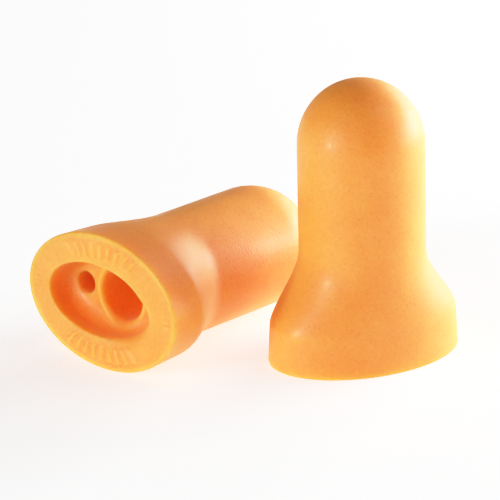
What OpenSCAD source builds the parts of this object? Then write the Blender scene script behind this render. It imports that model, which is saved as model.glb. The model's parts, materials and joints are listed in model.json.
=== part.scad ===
// Pair of flared, oval-based foam ear plugs: one standing on its base, one lying on its side.
// Each plug is a single piece of moulded slow-recovery foam. Plug frame: the base face is at
// z = 0 and the tip points along +z, with the long axis of the oval base along x.

/* [Plug] */
// Length from the base face to the tip
plug_len = 24; // [22:0.5:28]
// Diameter of the straight stem
stem_d = 10.65; // [9:0.05:11.5]
// Height of the rounded tip
dome_h = 5.55; // [4:0.05:7]

/* [Base] */
// Long axis of the oval base
base_long = 16.95; // [15:0.05:19]
// Short axis of the oval base
base_short = 11.8; // [11.6:0.1:14]
// Height of the band round the base
band_h = 3.25; // [1.5:0.05:4]
// How much the band leans in, on each side, from the base face to its top
band_taper = 0.18; // [0:0.02:0.4]
// Height at which the flare has become the round stem
flare_top = 9.35; // [7:0.05:11]
// Below 1 the flare draws in sooner above the band, above 1 later
flare_bias = 0.85; // [0.6:0.05:1.4]

/* [Recess in the base] */
// Long axis of the oval recess at the base face
recess_long = 11.1; // [10:0.1:12]
// Short axis of the oval recess at the base face
recess_short = 6.3; // [5.6:0.1:6.6]
// Depth of the recess floor below the base face
recess_depth = 2.7; // [1.5:0.1:3]
// Shift of the recess towards the cord socket
recess_shift = 0.6; // [0:0.05:0.8]
// Radius where the recess wall meets its floor
recess_fillet = 1.2; // [0.3:0.1:1.4]

/* [Pocket and cord socket] */
// Diameter of the round pocket in the recess floor
pocket_d = 4.7; // [4:0.1:5.4]
// Shift of the pocket along the long axis
pocket_shift = 0; // [-1:0.1:0.2]
// Depth of the pocket below the base face
pocket_depth = 7; // [4:0.5:12]
// Diameter of the cord socket
socket_d = 1.9; // [1.2:0.05:2]
// Distance of the cord socket from the plug's axis
socket_shift = 4.3; // [3.6:0.05:4.4]
// Depth of the cord socket below the base face
socket_depth = 6.4; // [5:0.1:8]

/* [Places] */
// Turn of the standing plug about its own axis
standing_spin = 27; // [0:1:90]
// Heading of the lying plug's tip, from +x towards +y
lying_heading = 49.3; // [45:0.1:60]
// Turn of the lying plug's long axis away from level
lying_roll = 0; // [0:0.5:10]
// Place of the lying plug's base centre, from the standing plug's axis
lying_from_standing = [-21.8, -3.15];

/* [Hidden] */

foam_colour = "#f8a957";
sides = 64;             // sides of each lofted oval
flare_steps = 12;       // sections in the flare
fillet_steps = 5;       // sections in the recess fillet
dome_steps = 18;        // points on the dome's profile
over = 1;               // overrun of every cutter past the face it opens through
seam = 0.02;            // step by which the flare's facets stay inside the stem
lap = 0.5;              // length of flare that runs up inside the stem

stem_r = stem_d / 2;
base_a = base_long / 2;
base_b = base_short / 2;
dome_z = plug_len - dome_h;

// A lying plug touches the ground at its dome and at the rim of its base face, or at the top of
// its band where the band hardly leans in: the reach of each oval below the axis, the slope of
// the axis that brings dome and oval to one level, and the height of the base centre
function reach(a, b) = norm([a * sin(lying_roll), b * cos(lying_roll)]);
rim_reach = reach(base_a, base_b);
band_reach = reach(base_a - band_taper, base_b - band_taper);
function slope_from(low, span) =
    let (k = span * span - dome_h * dome_h,
         root = sqrt(pow(low * span, 2) - k * (low * low - stem_r * stem_r)))
    atan((low * span - root) / k);
rest_tilt = max(slope_from(rim_reach, dome_z), slope_from(band_reach, dome_z - band_h));
rest_height = max(rim_reach * cos(rest_tilt),
                  band_reach * cos(rest_tilt) + band_h * sin(rest_tilt));

// Directions of the lying plug's axis and of its oval's long and short axes, in plan
axis_dir = [cos(lying_heading), sin(lying_heading)] * cos(rest_tilt);
side_dir = [-sin(lying_heading), cos(lying_heading)];
drop_dir = [cos(lying_heading), sin(lying_heading)] * sin(rest_tilt);
long_dir = side_dir * cos(lying_roll) - drop_dir * sin(lying_roll);
short_dir = side_dir * sin(lying_roll) + drop_dir * cos(lying_roll);

// Box of the pair in plan, so that the origin is at the middle of its underside
pair_left = lying_from_standing.x - norm([base_a * long_dir.x, base_b * short_dir.x]);
pair_right = norm([base_a * cos(standing_spin), base_b * sin(standing_spin)]);
pair_front = lying_from_standing.y - norm([base_a * long_dir.y, base_b * short_dir.y]);
pair_back = lying_from_standing.y + dome_z * axis_dir.y
            + norm([dome_h * axis_dir.y, stem_r * sqrt(1 - pow(axis_dir.y, 2))]);
standing_at = -[pair_left + pair_right, pair_front + pair_back] / 2;
lying_at = standing_at + lying_from_standing;

// A ring of points round an oval: section = [z, half long axis, half short axis, shift in x]
function oval(section) = [for (i = [0 : sides - 1]) let (angle = 360 * i / sides)
    [section[3] + section[1] * cos(angle), section[2] * sin(angle), section[0]]];

// Closed solid through a stack of ovals, lowest first
module loft(sections) {
    last = len(sections) - 1;
    walls = [for (k = [0 : last - 1], i = [0 : sides - 1], half = [0, 1])
        let (p = k * sides + i, q = k * sides + (i + 1) % sides)
        half == 0 ? [p, p + sides, q] : [q, p + sides, q + sides]];
    floor_face = [for (i = [0 : sides - 1]) i];
    top_face = [for (i = [sides - 1 : -1 : 0]) last * sides + i];
    polyhedron(points = [for (s = sections) each oval(s)],
               faces = concat(walls, [floor_face, top_face]), convexity = 4);
}

// 1 at the band, 0 at the stem, level at both ends
function ease(t) = 1 - t * t * (3 - 2 * t);

// Oval band and the flare that turns it into the round stem
module base_and_flare() {
    band_a = base_a - band_taper;
    band_b = base_b - band_taper;
    grown = [for (k = [0 : flare_steps - 1]) let (t = k / flare_steps, s = ease(pow(t, flare_bias)))
        [band_h + t * (flare_top - band_h), stem_r + (band_a - stem_r) * s,
         stem_r + (band_b - stem_r) * s, 0]];
    loft(concat([[0, base_a, base_b, 0]], grown,
                [[flare_top, stem_r - seam, stem_r - seam, 0],
                 [flare_top + lap, stem_r - seam, stem_r - seam, 0]]));
}

// Round stem and its domed tip
module stem_and_tip() {
    dome = [for (k = [0 : dome_steps]) let (angle = 90 * k / dome_steps)
        [stem_r * cos(angle), dome_z + dome_h * sin(angle)]];
    rotate_extrude($fn = 96)
        polygon(concat([[0, flare_top], [stem_r, flare_top]], dome));
}

// Oval recess: upright wall, then a fillet down to a level floor
module recess() {
    a = recess_long / 2;
    b = recess_short / 2;
    fillet = [for (k = [0 : fillet_steps]) let (angle = 90 * k / fillet_steps,
                                               inset = recess_fillet * (1 - cos(angle)))
        [recess_depth - recess_fillet * (1 - sin(angle)), a - inset, b - inset, recess_shift]];
    loft(concat([[-over, a, b, recess_shift]], fillet));
}

// Round blind hole from below the base face up to a depth, at a shift along the long axis
module blind_hole(d, shift, depth) {
    translate([shift, 0, -over]) cylinder(d = d, h = depth + over, $fn = 64);
}

// One plug in its own frame
module plug() {
    difference() {
        union() {
            base_and_flare();
            stem_and_tip();
        }
        recess();
        blind_hole(pocket_d, pocket_shift, pocket_depth);
        blind_hole(socket_d, socket_shift, socket_depth);
    }
}

module standing_plug() {
    color(foam_colour)
        translate([standing_at.x, standing_at.y, 0])
            rotate([0, 0, standing_spin])
                plug();
}

module lying_plug() {
    color(foam_colour)
        translate([lying_at.x, lying_at.y, rest_height])
            rotate([0, 0, lying_heading])
                rotate([0, 90 + rest_tilt, 0])
                    rotate([0, 0, 90 - lying_roll])
                        plug();
}

standing_plug();
lying_plug();
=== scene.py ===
"""A pair of flared, oval-based foam ear plugs: one stands on its base, one lies on its side.

Lengths of the plugs are in millimetres in each plug's own frame: the base face is at z = 0, the
tip points along +z, and the long axis of the oval base and the cord socket lie along x.
"""

import json
import math

import bmesh
import bpy
import numpy as np
from mathutils import Matrix, Vector


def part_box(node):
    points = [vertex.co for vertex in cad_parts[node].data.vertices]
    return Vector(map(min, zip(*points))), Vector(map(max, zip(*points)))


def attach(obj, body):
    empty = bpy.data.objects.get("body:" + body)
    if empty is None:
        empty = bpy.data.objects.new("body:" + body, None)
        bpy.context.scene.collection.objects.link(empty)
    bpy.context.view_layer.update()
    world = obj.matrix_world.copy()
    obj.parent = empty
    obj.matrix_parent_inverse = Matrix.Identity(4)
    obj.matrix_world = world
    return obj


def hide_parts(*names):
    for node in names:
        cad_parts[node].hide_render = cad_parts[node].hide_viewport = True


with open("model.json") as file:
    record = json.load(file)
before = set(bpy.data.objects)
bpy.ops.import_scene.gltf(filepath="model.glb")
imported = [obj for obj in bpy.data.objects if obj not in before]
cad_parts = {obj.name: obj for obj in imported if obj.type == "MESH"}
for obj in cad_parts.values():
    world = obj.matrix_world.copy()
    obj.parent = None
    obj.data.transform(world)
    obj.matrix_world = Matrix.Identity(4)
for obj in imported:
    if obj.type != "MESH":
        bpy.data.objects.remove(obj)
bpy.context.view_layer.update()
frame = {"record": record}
mounts = {mount["name"]: mount for mount in frame["record"]["mounts"]}
MM = 0.001

# ---------------------------------------------------------------- sizes of one plug, in mm
standing_low, standing_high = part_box("standing_plug")
plug_length = (standing_high.z - standing_low.z) / MM
stem_radius = mounts["standing_stem"]["dims"]["r_mm"]
dome_height = 5.55
base_half = (8.475, 5.9)        # half the long and the short axis of the oval base
band_height = 3.25
band_taper = 0.18               # how much the band leans in from the base face to its top
flare_top = 9.35
flare_bias = 0.85               # below 1 the flare draws in sooner above the band

base_edge = 0.22                # rounding between the band and the base face
rim_width = 0.3                 # the face's raised outer rim
rim_step = 0.3                  # width of the slope from that rim down to the face
face_sink = 0.08                # how far the face lies below that rim

bar_height = 0.16               # height of the moulded bars on the face
bar_ring = (6.95, 4.5)          # half the axes of the oval through the middle of the bars
bar_pitch = math.radians(7.4)   # turn from one bar to the next
bars_in_arc = 9
tick_height = 0.6               # as a share of the bars' height
tick_place = 7.35               # middle of the ticks, from the plug's axis along x
tick_pitch = 0.5
ticks_in_row = 3

recess_half = (5.55, 3.15)      # half the long and the short axis of the recess at the face
recess_shift = 0.6              # towards the cord socket
recess_depth = 2.7
recess_draft = 0.04             # how much the wall leans in for each millimetre of depth
recess_fillet = 1.3             # rounding between the wall and the floor
crisp_lip = 0.12                # rounding of the recess's edge at the cord socket's end
soft_lip = 1.3                  # what is added to it at the far corner, towards -x and -y
soft_lip_start = 2.5            # where that begins, as -x - y
soft_lip_run = 4                # how much further on it is at its full

pocket_radius = 2.3
pocket_depth = 7.0
pocket_lip = 0.6                # rounding of the pocket's mouth
pocket_bottom = 1.5             # rounding of the pocket's bottom corner
pocket_rim_rise = 0.3           # how much the recess floor rises to a rim round the pocket
pocket_rim_radius = 3.3         # where it begins to rise
pocket_rim_run = 0.8            # width of the rise

socket_radius = mounts["standing_cord_socket"]["dims"]["r_mm"]
socket_shift = 4.3              # from the plug's axis along x
socket_depth = 6.4
socket_lip = 0.25
socket_bottom = 0.4

grid_step = 0.2                 # spacing of the grid that the plug's surface is found on
grid_margin = 0.5               # how far that grid reaches past the plug
fine_height = 3.4               # below this the mesh is made twice as fine


# ---------------------------------------------------------------- the plug's shape
def smooth_max(a, b, blend):
    """The larger of two fields, with the corner where they meet rounded over the blend."""
    share = np.clip(0.5 + 0.5 * (a - b) / blend, 0, 1)
    return b + (a - b) * share + blend * share * (1 - share)


def smooth_min(a, b, blend):
    return -smooth_max(-a, -b, blend)


def ease(t):
    """0 to 1 with no slope at either end."""
    t = np.clip(t, 0, 1)
    return t * t * (3 - 2 * t)


def oval_distance(x, y, half_x, half_y, up=0.0, half_up=1.0):
    """About how far a point lies outside an oval, or outside an ovoid if up is given."""
    radius = np.sqrt((x / half_x) ** 2 + (y / half_y) ** 2 + (up / half_up) ** 2)
    slope = np.sqrt((x / half_x ** 2) ** 2 + (y / half_y ** 2) ** 2 + (up / half_up ** 2) ** 2)
    return radius * (radius - 1) / np.maximum(slope, 1e-6)


def outer_form(x, y, z):
    """Band, flare, round stem and domed tip, without the base face."""
    lean = band_taper * np.clip(z / band_height, 0, 1)
    oval = 1 - ease(np.clip((z - band_height) / (flare_top - band_height), 0, 1) ** flare_bias)
    half_x = stem_radius + (base_half[0] - lean - stem_radius) * oval
    half_y = stem_radius + (base_half[1] - lean - stem_radius) * oval
    above_dome = np.maximum(z - (plug_length - dome_height), 0)
    return oval_distance(x, y, half_x, half_y, above_dome, dome_height)


def raised(across, along, half_width, side, half_length, end):
    """1 on top of a straight bar, easing to 0 over its sides and its ends."""
    return ease((half_width - across) / side) * ease((half_length - along) / end)


def from_nearest(place, pitch):
    """How far a place is from the nearest of a row of marks, in pitches."""
    return np.abs((place / pitch + 0.5) % 1 - 0.5)


def face_relief(x, y):
    """Height of the moulded relief: two arcs of plain radial bars, and short ticks at each end."""
    ring = np.sqrt((x / bar_ring[0]) ** 2 + (y / bar_ring[1]) ** 2)
    angle = np.arctan2(y / bar_ring[1], x / bar_ring[0])
    reach = np.sqrt((bar_ring[0] * np.sin(angle)) ** 2 + (bar_ring[1] * np.cos(angle)) ** 2)
    from_middle = np.abs(np.abs(angle) - math.pi / 2)
    across = from_nearest(from_middle, bar_pitch) * bar_pitch * reach
    along = np.abs(ring - 1) * bar_ring[1]
    bars = raised(across, along, half_width=0.24, side=0.14, half_length=0.7, end=0.15)
    bars = bars * (from_middle < bar_pitch * bars_in_arc / 2)
    across = from_nearest(y, tick_pitch) * tick_pitch
    along = np.abs(np.abs(x) - tick_place)
    ticks = raised(across, along, half_width=0.16, side=0.12, half_length=0.55, end=0.15)
    ticks = ticks * (np.abs(y) < tick_pitch * ticks_in_row / 2)
    return bar_height * np.maximum(bars, tick_height * ticks)


def face_level(x, y, from_edge):
    """How deep the base face lies: level at its rim, then a little sunk, with the relief on it."""
    sunk = face_sink * ease((from_edge - rim_width) / rim_step)
    return sunk - face_relief(x, y) * (from_edge > rim_width)


def hollow(x, y, z):
    """The dished recess with the round pocket and the cord socket in its floor."""
    depth = np.maximum(z, 0)
    wall = oval_distance(x - recess_shift, y, recess_half[0] - recess_draft * depth,
                         recess_half[1] - recess_draft * depth)
    from_axis = np.hypot(x, y)
    rise = pocket_rim_rise * ease((pocket_rim_radius - from_axis) / pocket_rim_run)
    recess = smooth_max(wall, z - (recess_depth - rise), recess_fillet)
    pocket = smooth_max(from_axis - pocket_radius, z - pocket_depth, pocket_bottom)
    from_socket = np.hypot(x - socket_shift, y)
    socket = smooth_max(from_socket - socket_radius, z - socket_depth, socket_bottom)
    return smooth_min(smooth_min(recess, pocket, pocket_lip), socket, socket_lip)


def plug_field(points):
    """Negative inside the foam, positive outside, in about millimetres."""
    x, y, z = points
    side = outer_form(x, y, z)
    body = smooth_max(side, face_level(x, y, -side) - z, base_edge)
    lip = crisp_lip + soft_lip * ease((-x - y - soft_lip_start) / soft_lip_run)
    return smooth_max(body, -hollow(x, y, z), lip)


def net_of(field, low, high, step):
    """Points and quads of a closed net over the surface where the field is zero (surface nets)."""
    counts = [int(math.ceil((b - a) / step)) + 1 for a, b in zip(low, high)]
    axes = [a + step * np.arange(n) for a, n in zip(low, counts)]
    values = field(np.meshgrid(*axes, indexing="ij", sparse=True))
    inside = values < 0
    corners = [(i, j, k) for i in (0, 1) for j in (0, 1) for k in (0, 1)]

    def corner(array, c):
        return array[tuple(slice(o, o + n - 1) for o, n in zip(c, counts))]

    filled = sum(corner(inside, c).astype(np.int8) for c in corners)
    cells = np.argwhere((filled > 0) & (filled < 8))
    number = np.full(filled.shape, -1)
    number[tuple(cells.T)] = np.arange(len(cells))
    total, crossings = np.zeros((len(cells), 3)), np.zeros((len(cells), 1))
    for start in corners:
        for axis in range(3):
            if start[axis]:
                continue
            end = tuple(1 if i == axis else o for i, o in enumerate(start))
            at_start = values[tuple((cells + start).T)]
            at_end = values[tuple((cells + end).T)]
            crossed = (at_start < 0) != (at_end < 0)
            share = np.where(crossed, at_start / np.where(crossed, at_start - at_end, 1), 0)
            point = np.array(start) + share[:, None] * (np.array(end) - start)
            total += point * crossed[:, None]
            crossings += crossed[:, None]
    points = np.array(low) + step * (cells + total / crossings)
    quads = []
    for axis in range(3):
        u, v = (axis + 1) % 3, (axis + 2) % 3
        here = tuple(slice(0, -1) if i == axis else slice(1, -1) for i in range(3))
        there = tuple(slice(1, None) if i == axis else slice(1, -1) for i in range(3))
        edges = np.argwhere(inside[here] != inside[there])
        edges[:, u] += 1
        edges[:, v] += 1
        rising = inside[tuple(edges.T)]
        around = []
        for du, dv in ((-1, -1), (0, -1), (0, 0), (-1, 0)):
            cell = edges.copy()
            cell[:, u] += du
            cell[:, v] += dv
            around.append(number[tuple(cell.T)])
        quad = np.stack(around, 1)
        quads.append(np.where(rising[:, None], quad, quad[:, ::-1]))
    return points, np.concatenate(quads)


def settle(field, points, rounds=3):
    """Moves points along the field's slope until they lie on its zero surface."""
    probe = 0.01                # how far each way the slope is felt
    flattest = 0.05             # a squared slope below this counts as this, so no point runs away

    def slope_along(axis):
        ahead, behind = field((points + probe * axis).T), field((points - probe * axis).T)
        return (ahead - behind) / (2 * probe)

    for _ in range(rounds):
        value = field(points.T)
        slope = np.stack([slope_along(axis) for axis in np.eye(3)], 1)
        move = value[:, None] * slope / np.maximum((slope ** 2).sum(1, keepdims=True), flattest)
        points = points - np.clip(move, -grid_step / 2, grid_step / 2)
    return points


def plug_mesh(name, place):
    """One plug as a closed mesh, finer near the base, put where its place says."""
    reach_x, reach_y = base_half[0] + grid_margin, base_half[1] + grid_margin
    points, quads = net_of(plug_field, (-reach_x, -reach_y, -grid_margin),
                           (reach_x, reach_y, plug_length + grid_margin), grid_step)
    points = settle(plug_field, points)
    mesh = bpy.data.meshes.new(name)
    mesh.from_pydata(points.tolist(), [], quads.tolist())
    work = bmesh.new()
    work.from_mesh(mesh)
    fine = [edge for edge in work.edges if all(vert.co.z < fine_height for vert in edge.verts)]
    bmesh.ops.subdivide_edges(work, edges=fine, cuts=1, use_grid_fill=True)
    work.to_mesh(mesh)
    work.free()
    count = len(mesh.vertices)
    coords = np.empty(count * 3)
    mesh.vertices.foreach_get("co", coords)
    coords = settle(plug_field, coords.reshape(count, 3))
    mesh.vertices.foreach_set("co", coords.ravel())
    mesh.transform(place @ Matrix.Scale(MM, 4))
    mesh.shade_smooth()
    mesh.update()
    return mesh


def plug_place(which):
    """Where the frame holds a plug: the base centre and the plug's axes, from its mounts."""
    base, stem, socket = (mounts[f"{which}_{part}"] for part in ("base", "stem", "cord_socket"))
    tip_way = Vector(stem["axis"]).normalized()
    on_axis = Vector(stem["pos_m"])
    to_socket = Vector(socket["pos_m"]) - on_axis
    long_way = (to_socket - to_socket.dot(tip_way) * tip_way).normalized()
    short_way = tip_way.cross(long_way)
    centre = on_axis - (on_axis - Vector(base["pos_m"])).dot(tip_way) * tip_way
    place = Matrix((long_way, short_way, tip_way)).transposed().to_4x4()
    place.translation = centre
    return place


# ---------------------------------------------------------------- materials
def linear(hex_colour):
    """An sRGB hex colour as linear RGBA."""
    shown = [int(hex_colour[i:i + 2], 16) / 255 for i in (1, 3, 5)]
    rgb = [c / 12.92 if c <= 0.04045 else ((c + 0.055) / 1.055) ** 2.4 for c in shown]
    return (*rgb, 1.0)


def add_node(tree, kind, inputs=None, **settings):
    """A node with its settings and, for each input by name or number, a value or what feeds it."""
    node = tree.nodes.new(kind)
    for name, value in settings.items():
        setattr(node, name, value)
    for key, value in (inputs or {}).items():
        if isinstance(value, bpy.types.NodeSocket):
            tree.links.new(value, node.inputs[key])
        else:
            node.inputs[key].default_value = value
    return node


def per_mm(size):
    """The scale, in object space, of a pattern whose features are this many millimetres apart."""
    return 1 / (size * MM)


def moulded_foam():
    """Slow-recovery polyurethane foam, moulded with its own thin skin.

    The skin gives the eye a matte, slightly waxy surface with soft broken glints. The foam's cells
    show through it as a fine grain with small pits, and light that goes in comes out warmer nearby.
    """
    material = bpy.data.materials.new("moulded_polyurethane_foam")
    material.use_nodes = True
    tree = material.node_tree
    shader = tree.nodes["Principled BSDF"]
    place = add_node(tree, "ShaderNodeTexCoord").outputs["Object"]

    # The cells of the real foam are 0.1 to 0.2 mm wide. Their grain keeps that size, and the pits
    # are drawn about twice as coarse, so that they show. The clouds are where the mix was uneven.
    grain = add_node(tree, "ShaderNodeTexNoise", {
        "Vector": place, "Scale": per_mm(0.2), "Detail": 1.5, "Roughness": 0.6}).outputs["Fac"]
    pit = add_node(tree, "ShaderNodeTexVoronoi", {
        "Vector": place, "Scale": per_mm(0.42)}).outputs["Distance"]
    cloud = add_node(tree, "ShaderNodeTexNoise", {
        "Vector": place, "Scale": per_mm(2.4), "Detail": 2.0, "Roughness": 0.55}).outputs["Fac"]
    skin = add_node(tree, "ShaderNodeMapRange", {
        "Value": pit, "From Min": 0.08, "From Max": 0.3,
        "To Min": 0.0, "To Max": 1.0}).outputs["Result"]

    # Colour: each pattern adds its share to an even tone, which runs from deep to light orange
    tone = 0.125
    for pattern, share in ((cloud, 0.2), (grain, 0.45), (skin, 0.1)):
        tone = add_node(tree, "ShaderNodeMath", {0: pattern, 1: share, 2: tone},
                        operation="MULTIPLY_ADD").outputs[0]
    ramp = add_node(tree, "ShaderNodeValToRGB", {"Fac": tone})
    dark, light = ramp.color_ramp.elements
    dark.position, dark.color = 0.3, linear("#e58724")
    light.position, light.color = 0.75, linear("#ffa84a")
    tree.links.new(ramp.outputs["Color"], shader.inputs["Base Color"])

    # Roughness follows the grain, which breaks up each glint
    rough = add_node(tree, "ShaderNodeMapRange", {
        "Value": grain, "From Min": 0.3, "From Max": 0.7,
        "To Min": 0.44, "To Max": 0.64}).outputs["Result"]
    tree.links.new(rough, shader.inputs["Roughness"])

    # Relief of grain and pits, 0.03 mm high at full strength and gentler on the skin's own gloss
    relief = add_node(tree, "ShaderNodeMath", {0: skin, 1: 0.5, 2: grain},
                      operation="MULTIPLY_ADD").outputs[0]
    for normal, strength in (("Normal", 0.75), ("Coat Normal", 0.45)):
        bump = add_node(tree, "ShaderNodeBump", {
            "Height": relief, "Strength": strength, "Distance": 0.03 * MM})
        tree.links.new(bump.outputs["Normal"], shader.inputs[normal])

    shader.inputs["IOR"].default_value = 1.45
    shader.inputs["Specular IOR Level"].default_value = 0.42
    shader.inputs["Sheen Weight"].default_value = 0.05
    shader.inputs["Sheen Roughness"].default_value = 0.5
    shader.inputs["Coat Weight"].default_value = 0.1
    shader.inputs["Coat Roughness"].default_value = 0.2
    # Light wanders about 3 mm through the foam in red, and least far in blue
    shader.inputs["Subsurface Weight"].default_value = 1.0
    shader.inputs["Subsurface Radius"].default_value = (1.0, 0.8, 0.3)
    shader.inputs["Subsurface Scale"].default_value = 3.0 * MM
    return material


def white_table():
    """Matt white acrylic sheet lit from below: a bright even ground and a soft light upwards."""
    material = bpy.data.materials.new("white_acrylic_table")
    material.use_nodes = True
    shader = material.node_tree.nodes["Principled BSDF"]
    shader.inputs["Base Color"].default_value = linear("#f3f3f3")
    shader.inputs["Roughness"].default_value = 0.9
    shader.inputs["Emission Color"].default_value = (1, 1, 1, 1)
    shader.inputs["Emission Strength"].default_value = 0.6
    return material


# ---------------------------------------------------------------- pieces
def make_plug(which, foam):
    name = f"foam_{which}_plug"
    piece = bpy.data.objects.new(name, plug_mesh(name, plug_place(which)))
    bpy.context.scene.collection.objects.link(piece)
    piece.data.materials.append(foam)
    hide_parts(f"{which}_plug")
    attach(piece, f"{which}_plug")


def make_floor():
    half = 6.0                  # m, so wide that its edge is far off even in a low view
    corners = [(-half, -half, 0), (half, -half, 0), (half, half, 0), (-half, half, 0)]
    mesh = bpy.data.meshes.new("floor")
    mesh.from_pydata(corners, [], [(0, 1, 2, 3)])
    floor = bpy.data.objects.new("floor", mesh)
    bpy.context.scene.collection.objects.link(floor)
    mesh.materials.append(white_table())


def turned_to(way):
    """The turn that points a camera or a light along a way, with its top up."""
    return way.to_track_quat("-Z", "Y")


def make_camera():
    """A long lens in front of the pair, looking down at it."""
    heading, down, roll = (math.radians(angle) for angle in (-1.942, 21.125, -1.426))
    data = bpy.data.cameras.new("camera")
    data.lens = 256.97
    data.sensor_width = 36.0
    data.clip_start, data.clip_end = 0.01, 10.0
    camera = bpy.data.objects.new("camera", data)
    bpy.context.scene.collection.objects.link(camera)
    way = Vector((math.sin(heading) * math.cos(down), math.cos(heading) * math.cos(down),
                  -math.sin(down)))
    camera.location = Vector((0.010148, -0.281358, 0.116510))
    camera.rotation_mode = "QUATERNION"
    camera.rotation_quaternion = turned_to(way) @ Matrix.Rotation(roll, 3, "Z").to_quaternion()
    bpy.context.scene.camera = camera


def softbox(name, bearing, height, size, watts):
    """A soft light aimed at the pair, with its bearing and height in degrees, and sizes in metres.

    Bearing 0 is the camera's side and 90 the right.
    """
    distance, target = 0.35, Vector((0, 0, 0.01))
    bearing, height = math.radians(bearing), math.radians(height)
    way = Vector((math.sin(bearing) * math.cos(height), -math.cos(bearing) * math.cos(height),
                  math.sin(height)))
    data = bpy.data.lights.new(name, "AREA")
    data.shape = "RECTANGLE"
    data.size, data.size_y = size
    data.energy = watts
    light = bpy.data.objects.new(name, data)
    light.location = target + way * distance
    light.rotation_mode = "QUATERNION"
    light.rotation_quaternion = turned_to(-way)
    bpy.context.scene.collection.objects.link(light)


def make_lights():
    """Low lights on both sides, weaker ones in front and above, and no light from the room."""
    softbox("right_softbox", bearing=112, height=8, size=(0.22, 0.14), watts=1.9)
    softbox("side_softbox", bearing=88, height=8, size=(0.16, 0.12), watts=0.38)
    softbox("back_softbox", bearing=140, height=15, size=(0.24, 0.16), watts=0.9)
    softbox("left_lamp", bearing=303.75, height=8, size=(0.03, 0.03), watts=0.44)
    softbox("left_softbox", bearing=308, height=13, size=(0.16, 0.16), watts=0.56)
    softbox("front_softbox", bearing=341, height=30, size=(0.20, 0.16), watts=0.12)
    softbox("top_softbox", bearing=84, height=52, size=(0.20, 0.20), watts=0.23)
    world = bpy.data.worlds.new("dark_studio")
    world.use_nodes = True
    world.node_tree.nodes["Background"].inputs["Strength"].default_value = 0.0
    bpy.context.scene.world = world


def make_print():
    """How the picture is developed: straight up to the mid-tones, then a soft shoulder to white."""
    white = 1.45                # the least light that comes out as full white
    all_colours = 3             # the curve that red, green and blue share
    view = bpy.context.scene.view_settings
    view.view_transform = "Standard"
    view.use_curve_mapping = True
    mapping = view.curve_mapping
    mapping.white_level = (white, white, white)
    mapping.extend = "HORIZONTAL"
    for light, shown in ((0.325, 0.325), (0.65, 0.65), (1.0, 0.87)):
        mapping.curves[all_colours].points.new(light / white, shown)
    mapping.update()


foam = moulded_foam()
for which in ("standing", "lying"):
    make_plug(which, foam)
make_floor()
make_camera()
make_lights()
make_print()
